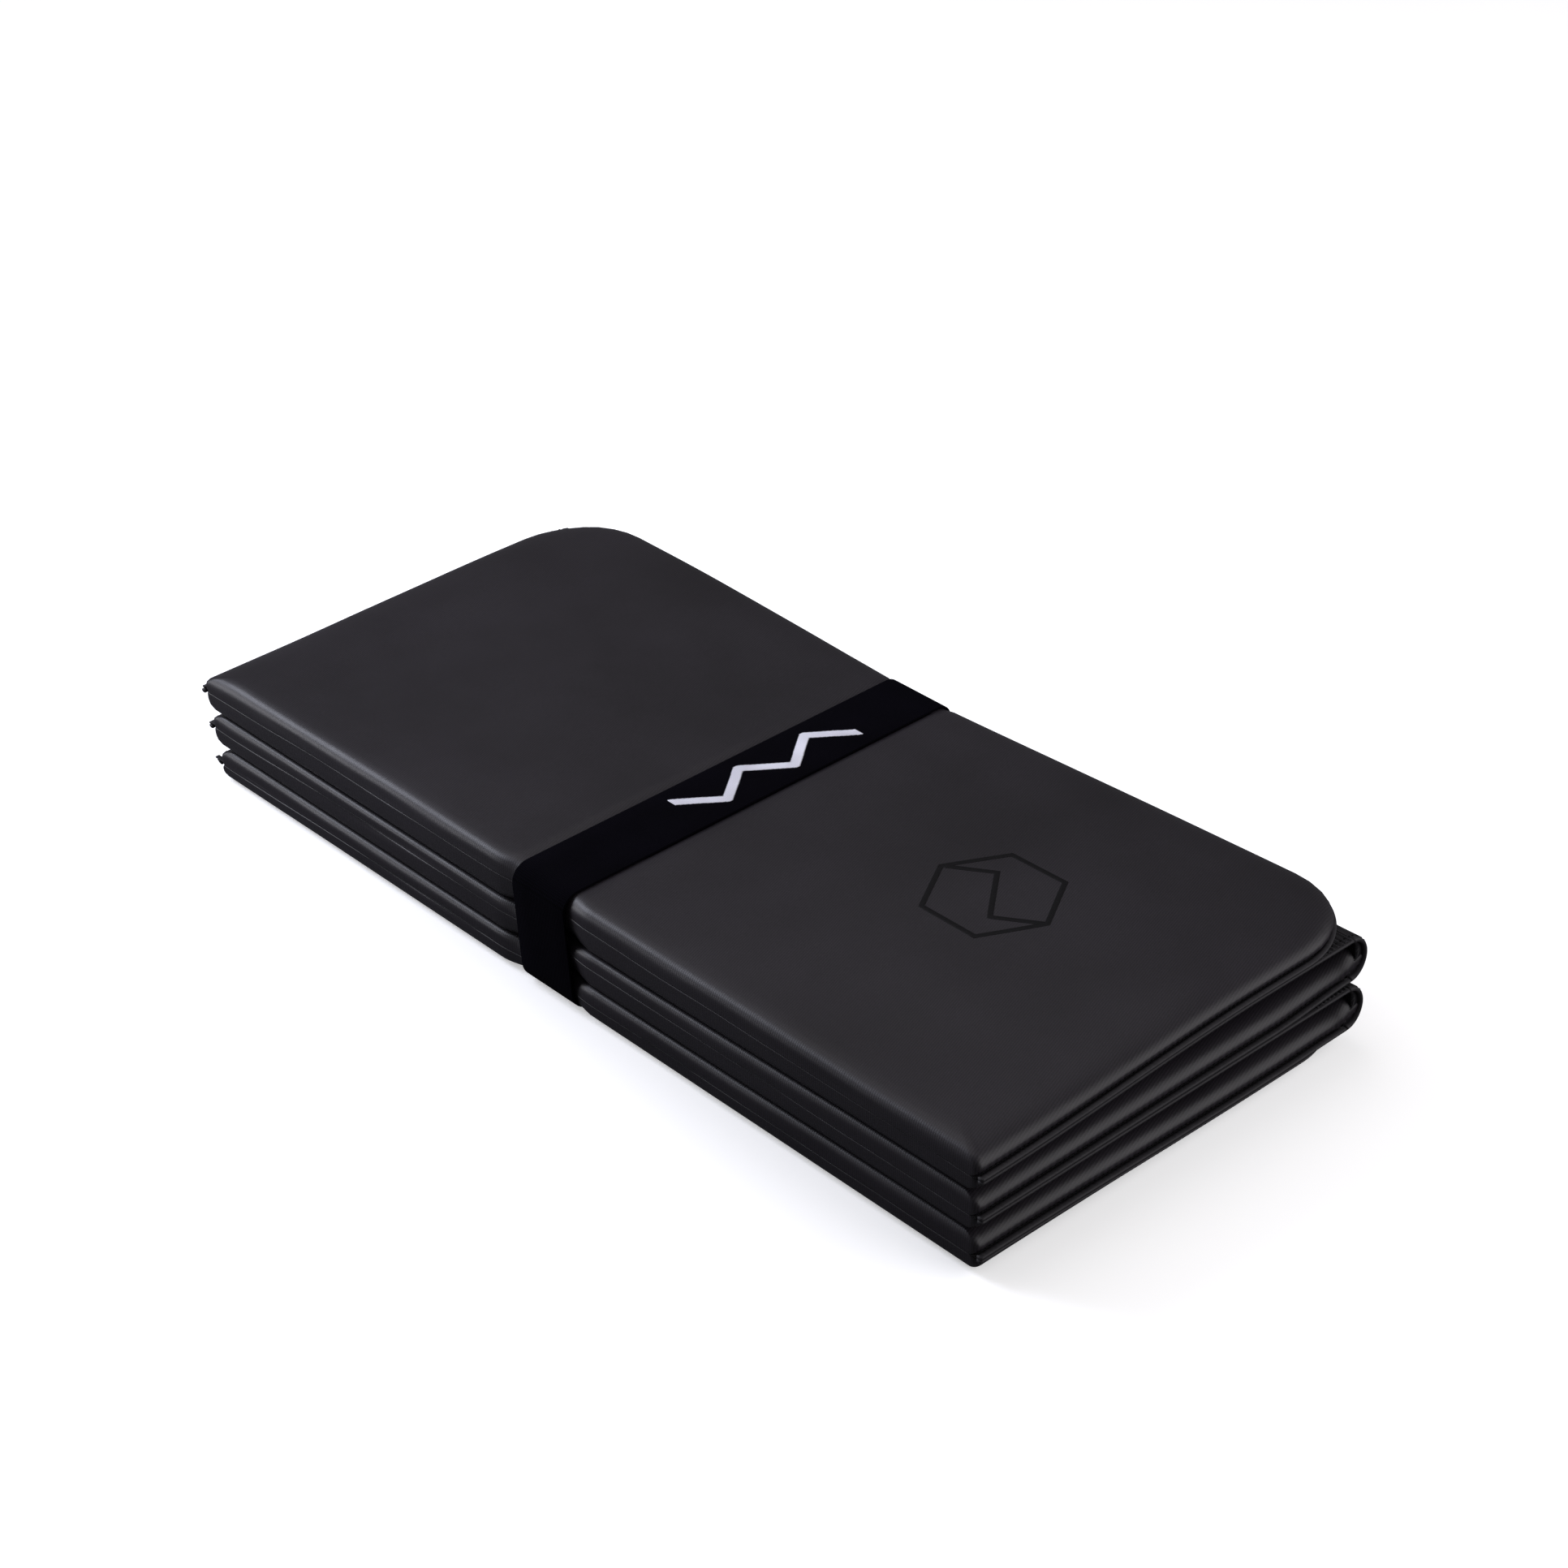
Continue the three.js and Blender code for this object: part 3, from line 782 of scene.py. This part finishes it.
def bead(length, radius):
    points = []
    for along, size, height in BEAD_RINGS:
        for a in np.linspace(0, 2 * math.pi, BEAD_SIDES, endpoint=False):
            up = height + size * radius * math.sin(a)
            points.append((along * length, up, size * radius * math.cos(a)))
    return np.array(points)


def stitch_meshes(centres, directions, ups, length=2.1, radius=0.42):
    """A short bead of thread at each centre."""
    local = bead(length, radius)
    parts = []
    for centre, direction, up in zip(centres, directions, ups):
        forward = direction / np.linalg.norm(direction)
        across = np.cross(forward, up)
        across /= np.linalg.norm(across)
        normal = np.cross(across, forward)
        points = centre + local @ np.array([forward, normal, across])
        parts.append(sweep(points.reshape(len(BEAD_RINGS), BEAD_SIDES, 3)))
    return joined(parts)


def panel_stitches(panel):
    """Rows of stitches on the cover's wall, just clear of the seam lip."""
    centres, directions, ups = [], [], []
    insets, heights = np.array(end_profile(panel)).T
    on_wall = np.interp(STITCH_HEIGHT, heights, insets) - 0.15
    for path in seam_paths(panel, on_wall).values():
        placed = settle(panel, path[:, 0], path[:, 1], np.full(len(path), STITCH_HEIGHT))
        middles = np.arange(4, len(path) - 4, 4)
        centres.append(placed[middles])
        directions.append(placed[middles + 1] - placed[middles - 1])
        out = np.zeros((len(middles), 3))
        out[:, 0] = np.sign(path[middles, 0]) * 0.95
        out[:, 2] = 0.3 * side_of(panel)
        ups.append(out)
    rows = [np.concatenate(values) for values in (centres, directions, ups)]
    points, faces = stitch_meshes(*rows)
    thread = outward(make_mesh(f"panel_{panel}_stitching", points, faces, THREAD))
    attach(thread, f"panel_{panel}")


def panel_lips(panel):
    for name in seam_paths(panel, 0):
        points, faces = lip_mesh(panel, name)
        label = f"panel_{panel}_{name}_lip"
        lip = outward(make_mesh(label, points, faces, BINDING))
        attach(lip, f"panel_{panel}")
        node = f"panel_{panel}_edge_seam" if name == "edge" else f"panel_{panel}_{name}_edge_seam"
        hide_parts(node)


# ---- emblem -----------------------------------------------------------------------------------
def ribbon(path, width, closed):
    """Offsets a path in the plane to both sides: the left and right edges of a flat line."""
    path = np.asarray(path, float)
    if closed:
        ahead = np.roll(path, -1, 0) - path
        behind = path - np.roll(path, 1, 0)
    else:
        ahead = np.diff(path, axis=0, append=path[-1:] * 2 - path[-2:-1])
        behind = np.diff(path, axis=0, prepend=path[:1] * 2 - path[1:2])
    ahead /= np.linalg.norm(ahead, axis=1)[:, None]
    behind /= np.linalg.norm(behind, axis=1)[:, None]
    middle = ahead + behind
    middle /= np.linalg.norm(middle, axis=1)[:, None]
    normal = np.column_stack([-middle[:, 1], middle[:, 0]])
    reach = width / 2 / np.maximum((middle * ahead).sum(1), 0.3)
    return path + normal * reach[:, None], path - normal * reach[:, None]


def dense(points, step, closed):
    """Adds points along straight stretches."""
    points = [np.array(p, float) for p in points]
    ends = points[1:] + (points[:1] if closed else [])
    out = []
    for a, b in zip(points, ends):
        count = max(1, int(np.linalg.norm(b - a) / step))
        out += [a + (b - a) * i / count for i in range(count)]
    return np.array(out if closed else out + [points[-1]])


def raised_line(path, width, rise, closed):
    """A flat line printed on panel 1's top skin, with softened edges."""
    left, right = ribbon(path, width, closed)
    shoulder, foot = rise * 0.6, -0.3
    profile = ((0, foot), (0, shoulder), (0.08, rise), (0.92, rise), (1, shoulder), (1, foot))
    sections = []
    for share, lift in profile:
        edge = left + (right - left) * share
        sections.append(settle(1, edge[:, 0], edge[:, 1], np.full(len(edge), PAD + lift)))
    return sweep(np.stack(sections, axis=1), closed)


def emblem():
    """A six-sided outline crossed by one folded line."""
    low, high = box_mm("panel_1_emblem")
    centre = (low[:2] + high[:2]) / 2
    radius = (high[0] - low[0]) / 2 - EMBLEM_LINE / 2
    angles = np.radians(np.arange(0, 360, 60))
    hexagon = centre + radius * np.column_stack([np.cos(angles), np.sin(angles)])
    fold = [(-radius, 0), (-radius / 3, EMBLEM_BEND), (radius / 3, -EMBLEM_BEND), (radius, 0)]
    fold = [centre + np.array(p) for p in fold]
    parts = [
        raised_line(dense(hexagon, EMBLEM_STEP, True), EMBLEM_LINE, OUTLINE_RISE, True),
        raised_line(dense(fold, EMBLEM_STEP, False), EMBLEM_LINE, FOLD_RISE, False),
    ]
    badge = outward(make_mesh("panel_1_badge", *joined(parts), EMBLEM))
    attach(badge, "panel_1")
    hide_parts("panel_1_emblem")


# ---- front folds ------------------------------------------------------------------------------
def crease_web(upper):
    """Strip that joins two base cloths inside a closed front fold."""
    plane = fold_plane(upper)
    end = HALF - LIP_WIDTH - 1
    xs = np.linspace(-end, end, WEB_STATIONS)
    sections = []
    for x in xs:
        inward = float(front_pinch(x, 0))
        sections.append([(x, FRONT + inset + inward, plane + h) for inset, h in WEB_SECTION])
    web = outward(make_mesh(f"fold_{upper}_{upper + 1}_web", *sweep(sections), BASE))
    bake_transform(web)
    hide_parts(fold_node(upper))


# ---- back loops -------------------------------------------------------------------------------
def loop_line(count):
    """Stations along X, close together near the ends where the cloth puckers."""
    t = np.linspace(-1, 1, count)
    return (HALF - 1.2) * np.sign(t) * (1 - (1 - np.abs(t)) ** 1.6)


def loop_point(upper, x, angle, inset):
    """Point of a back loop: angle from the lower panel (-90) to the upper one (90) degrees."""
    x, angle, inset = np.broadcast_arrays(x, angle, inset)
    bend = np.clip(angle, -math.pi / 2, math.pi / 2)
    past = LOOP_RADIUS * np.abs(angle - bend)
    edge = INNER_BACK - past
    top = plane_of(upper) - 0.15 + panel_shift(upper, x, edge, 0)
    bottom = plane_of(upper + 1) + 0.15 + panel_shift(upper + 1, x, edge, 0)
    centre, half = (top + bottom) / 2, (top - bottom) / 2
    y = LOOP_START + (LOOP_RADIUS - inset) * np.cos(bend) - past
    z = centre + (half - inset) * np.sin(bend)
    share = (1 + np.sin(bend)) / 2
    slide = creep(upper, x, edge) * share + creep(upper + 1, x, edge) * (1 - share)
    return np.stack([x + slide, y, z], axis=-1)


def blend_loop(piece):
    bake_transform(piece)


def gathers(x, angle, length, depth):
    """Ribs that the end seam draws into the cloth, fading along X."""
    fade = np.exp(-(HALF - LIP_WIDTH - np.abs(x)) / length)
    return depth * np.clip(fade, 0, 1) * np.cos(angle * LOOP_RADIUS * 2 * math.pi / STITCH_PITCH)


def loop_cloth(upper):
    xs = loop_line(81)
    x, angle = np.meshgrid(xs, np.concatenate([LOOP_ANGLES, TAIL_ANGLES]), indexing="ij")
    lift = 0.75 * ease(angle, math.pi / 2, 0.2) * (1 - ease(angle, 3.5, 0.25))
    outer_inset = 0.1 - lift + gathers(x, angle, 11, 0.5)
    outer = loop_point(upper, x, angle, outer_inset)
    inner = loop_point(upper, x, angle, outer_inset + CLOTH)
    sections = np.concatenate([outer, inner[:, ::-1]], axis=1)
    name = f"fold_{upper}_{upper + 1}_loop"
    cloth = outward(make_mesh(name, *sweep(sections), BASE))
    blend_loop(cloth)
    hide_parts(fold_node(upper))


def loop_lining(upper):
    """Lining inside a loop, bunched up and wrinkled where the seam at each end gathers it."""
    xs = loop_line(81) * (HALF - 0.9) / HALF
    x, angle = np.meshgrid(xs, LOOP_ANGLES, indexing="ij")
    to_end = HALF - 0.9 - np.abs(x)
    near_end = 1 - ease(to_end, 0, 26)
    rounded = np.sqrt(1 - np.clip(1 - to_end / 1.1, 0, 0.85) ** 2)
    outside_inset = CLOTH + 0.4 + 1.1 * near_end
    bunched = 3.6 * near_end * (1 - ease(angle, 0.35, 1.1))
    wrinkles = gathers(x, angle * 1.3, 14, 0.4)
    outside = loop_point(upper, x, angle, outside_inset)
    inside = loop_point(upper, x, angle, outside_inset + 0.2 + (0.7 + bunched + wrinkles) * rounded)
    sections = np.concatenate([outside, inside[:, ::-1]], axis=1)
    name = f"fold_{upper}_{upper + 1}_inner_lining"
    lining = outward(make_mesh(name, *sweep(sections), LINING))
    blend_loop(lining)
    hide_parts(f"fold_{upper}_{upper + 1}_loop_lining")


def loop_binding(upper):
    """Seam lip that carries on round both ends of a loop."""
    parts = []
    for side in (-1, 1):
        sections = []
        for angle in np.radians(np.linspace(-90, 90, 41)):
            section = [loop_point(upper, side * (HALF - inset), angle, 1.35 * (h - 0.15))
                       for inset, h in LIP_SECTION]
            sections.append(np.array(section))
        parts.append(sweep(sections))
    binding = outward(make_mesh(f"fold_{upper}_{upper + 1}_binding", *joined(parts), BINDING))
    blend_loop(binding)


def loop_stitches(upper):
    """Stitches beside the binding, on the outside of a loop."""
    angles = np.arange(-80, 200, math.degrees(STITCH_PITCH / LOOP_RADIUS))
    centres, directions, ups = [], [], []
    for side in (-1, 1):
        for degrees in angles:
            a = math.radians(degrees)
            x = side * (HALF - LIP_WIDTH - 1.0)
            lift = 0.7 * ease(a, math.pi / 2, 0.2) - 0.1
            here = loop_point(upper, x, a, -lift)
            there = loop_point(upper, x, a + 0.05, -lift)
            centres.append(here)
            directions.append(there - here)
            facing = min(a, math.pi / 2)
            ups.append((0, math.cos(facing), math.sin(facing)))
    points, faces = stitch_meshes(np.array(centres), np.array(directions), np.array(ups))
    thread = outward(make_mesh(f"fold_{upper}_{upper + 1}_stitching", points, faces, THREAD))
    blend_loop(thread)


# ---- strap ------------------------------------------------------------------------------------
def strap_line(step):
    """Points round the strap's inner face as (y, z), with the outward direction of each."""
    low = strap_low[1:] + STRAP_THICK
    high = strap_high[1:] - STRAP_THICK
    r = STRAP_BEND
    corners = [((low[0] + r, high[1] - r), 180, 90), ((high[0] - r, high[1] - r), 90, 0),
               ((high[0] - r, low[1] + r), 0, -90), ((low[0] + r, low[1] + r), -90, -180)]
    line = []
    for centre, start, end in corners:
        for degrees in np.linspace(start, end, 9):
            a = math.radians(degrees)
            direction = np.array([math.cos(a), math.sin(a)])
            line.append((np.array(centre) + r * direction, direction))
    out = []
    for (p, d), (q, e) in zip(line, line[1:] + line[:1]):
        count = max(1, int(np.linalg.norm(q - p) / step))
        out += [(p + (q - p) * i / count, d + (e - d) * i / count) for i in range(count)]
    return out


def strap_slant(y, z):
    """The strap leans towards +X on its way down the front, and back again underneath."""
    height = np.clip((z - 2) / 56, 0, 1)
    return STRAP_SLANT * (1 - height) * (1 - ease(y, FRONT + 5, 200))


def ride_strap(piece):
    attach(piece, "strap")
    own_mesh(piece)


def strap_band():
    sections = []
    for point, direction in strap_line(STRAP_STEP):
        direction = direction / np.linalg.norm(direction)
        section = []
        for across, rise in STRAP_SECTION:
            y, z = point + direction * rise
            section.append((STRAP_X + STRAP_HALF * across + strap_slant(y, z), y, z))
        sections.append(section)
    band = outward(make_mesh("strap", *sweep(sections, closed=True), STRAP))
    ride_strap(band)
    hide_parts("strap_band")
    return band


def strap_join():
    """Overlap that closes the strap into a loop, with its bar tacks."""
    low, high = box_mm("strap_sewn_join")
    middle, height = (low[2] + high[2]) / 2, high[2] - low[2]
    back = low[1] - 0.2
    sections = []
    for share in np.linspace(-1, 1, JOIN_ROWS):
        edge = 1 - max(0, abs(share) - 0.93) / 0.07 * 0.75
        face = low[1] + (high[1] - low[1]) * edge
        outline = [
            (-1, back), (-1, face - 0.25), (-0.97, face), (0, face), (0.97, face), (1, face - 0.25),
            (1, back),
        ]
        z = middle + share * height / 2
        sections.append([(STRAP_X + STRAP_HALF * across, y, z) for across, y in outline])
    patch = outward(make_mesh("strap_join", *sweep(sections), STRAP))
    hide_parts("strap_sewn_join")
    xs = np.arange(STRAP_X - STRAP_HALF + 3, STRAP_X + STRAP_HALF - 2, TACK_PITCH)
    centres = []
    for tack_row in (middle - height * TACK_ROW, middle + height * TACK_ROW):
        for offset in (-TACK_GAP, 0, TACK_GAP):
            centres += [(x, high[1] + 0.05, tack_row + offset) for x in xs]
    along = np.tile((1.0, 0, 0), (len(centres), 1))
    out = np.tile((0, 1.0, 0), (len(centres), 1))
    points, faces = stitch_meshes(np.array(centres), along, out, 1.4, 0.24)
    tacks = outward(make_mesh("strap_join_stitching", points, faces, THREAD))
    for piece in (patch, tacks):
        ride_strap(piece)
    return [patch, tacks]


def woven_pick(left, right, y, top):
    """One woven row: a low bar with softened upper edges."""
    near, far = y - PICK * 0.52, y + PICK * 0.52
    rings = []
    for inset, z in ((0, top - 0.1), (0, top + 0.1), (PICK_BEVEL, top + 0.22)):
        x0, x1, y0, y1 = left + inset, right - inset, near + inset, far - inset
        rings.append([(x0, y0, z), (x1, y0, z), (x1, y1, z), (x0, y1, z)])
    return sweep(rings)


def strap_motif():
    """Generic zigzag woven into the strap row by row, so that its slanting edges are stepped."""
    low, high = box_mm("strap_woven_motif")
    centre_x, half_height = (low[0] + high[0]) / 2, (high[0] - low[0]) / 2
    length = high[1] - low[1]
    leg_length = length / MOTIF_FOLDS
    travel = half_height - MOTIF_STROKE / 2
    half_width = MOTIF_STROKE / 2 * math.sqrt(1 + (2 * travel / leg_length) ** 2)
    parts = []
    for k in range(int(length / PICK)):
        y = low[1] + (k + 0.5) * PICK
        phase = (y - low[1]) / leg_length
        leg, share = int(phase), phase - int(phase)
        x = centre_x + travel * (2 * share - 1) * (1 if leg % 2 == 0 else -1)
        left = max(x - half_width, centre_x - half_height)
        right = min(x + half_width, centre_x + half_height)
        left, right = (round(end / PICK_STEP) * PICK_STEP for end in (left, right))
        parts.append(woven_pick(left, right, y, strap_high[2]))
    motif = outward(make_mesh("strap_motif", *joined(parts), PRINT, shade_smooth=False))
    ride_strap(motif)
    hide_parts("strap_woven_motif")
    return motif


def strap_length():
    """Length round the strap's inner face."""
    points = np.array([p for p, _ in strap_line(STRAP_STEP)])
    return float(np.linalg.norm(points - np.roll(points, -1, 0), axis=1).sum())


# ---- stage ------------------------------------------------------------------------------------
def camera():
    """Looks down over the front +X corner."""
    azimuth, elevation, roll = (math.radians(v) for v in CAMERA_TURN)
    back = Vector((
        math.sin(azimuth) * math.cos(elevation),
        -math.cos(azimuth) * math.cos(elevation),
        math.sin(elevation),
    ))
    level = Vector((math.cos(azimuth), math.sin(azimuth), 0))
    upright = back.cross(level)
    right = math.cos(roll) * level + math.sin(roll) * upright
    up = -math.sin(roll) * level + math.cos(roll) * upright
    data = bpy.data.cameras.new("camera")
    data.lens = CAMERA_LENS
    data.sensor_width = CAMERA_SENSOR
    seen = bpy.data.objects.new("camera", data)
    turn = Matrix((right, up, back)).transposed()
    seen.matrix_world = Matrix.Translation(CAMERA_PLACE) @ turn.to_4x4()
    bpy.context.scene.collection.objects.link(seen)
    bpy.context.scene.camera = seen


def choose_by_ray(tree, others, to_camera, output):
    """Shows one shader to the camera and another to every other ray."""
    seen = tree.nodes.new("ShaderNodeLightPath")
    choice = tree.nodes.new("ShaderNodeMixShader")
    tree.links.new(seen.outputs["Is Camera Ray"], choice.inputs["Fac"])
    tree.links.new(others, choice.inputs[1])
    tree.links.new(to_camera, choice.inputs[2])
    tree.links.new(choice.outputs["Shader"], tree.nodes[output].inputs["Surface"])


def floor():
    corners = [(-1, -1), (1, -1), (1, 1), (-1, 1)]
    corners = [(x * FLOOR_HALF, y * FLOOR_HALF, FLOOR_HEIGHT) for x, y in corners]
    mesh = bpy.data.meshes.new("floor")
    mesh.from_pydata(corners, [], [(0, 1, 2, 3)])
    plane = bpy.data.objects.new("floor", mesh)
    bpy.context.scene.collection.objects.link(plane)
    n = Nodes("pale_floor", 0.9, 0.0)
    tone = n.ramp(n.noise(3, 2), (0.90, 0.90, 0.905), (0.93, 0.93, 0.935))
    n.link(tone, n.shader.inputs["Base Color"])
    n.shader.inputs["Emission Color"].default_value = (1, 1, 1, 1)
    n.shader.inputs["Emission Strength"].default_value = FLOOR_GLOW
    dim = n.add("ShaderNodeBsdfDiffuse")
    dim.inputs["Color"].default_value = FLOOR_DIM
    choose_by_ray(n.tree, dim.outputs["BSDF"], n.shader.outputs["BSDF"], "Material Output")
    mesh.materials.append(n.material)


def softbox(name, direction, distance, size, power, colour):
    """Area light at a distance along a direction from the mat, facing it."""
    data = bpy.data.lights.new(name, "AREA")
    data.shape = "RECTANGLE"
    data.size, data.size_y = size
    data.energy = power
    data.color = colour
    light = bpy.data.objects.new(name, data)
    direction = Vector(direction).normalized()
    light.location = direction * distance
    light.rotation_mode = "QUATERNION"
    light.rotation_quaternion = direction.to_track_quat("Z", "Y")
    bpy.context.scene.collection.objects.link(light)


def world():
    """Plain white to the camera, and a faint even glow to the mat."""
    studio = bpy.data.worlds.new("studio")
    studio.use_nodes = True
    glow = studio.node_tree.nodes["Background"]
    glow.inputs["Color"].default_value = (1, 1, 1, 1)
    glow.inputs["Strength"].default_value = WORLD_GLOW
    backdrop = studio.node_tree.nodes.new("ShaderNodeBackground")
    backdrop.inputs["Color"].default_value = (1, 1, 1, 1)
    sources = glow.outputs["Background"], backdrop.outputs["Background"]
    choose_by_ray(studio.node_tree, *sources, "World Output")
    bpy.context.scene.world = studio
    bpy.context.scene.view_settings.view_transform = "Standard"


# ---- assembly ---------------------------------------------------------------------------------
camera()
floor()
world()
for light in LIGHTS:
    softbox(*light)
for number in PANELS:
    panel_cover(number)
    panel_foam(number)
    panel_base(number)
    panel_lips(number)
    panel_stitches(number)
emblem()
for number in (1, 3, 5):
    crease_web(number)
for number in (2, 4):
    loop_cloth(number)
    loop_lining(number)
    loop_binding(number)
    loop_stitches(number)
band = strap_band()
extras = strap_join() + [strap_motif()]
strap_length() * MM
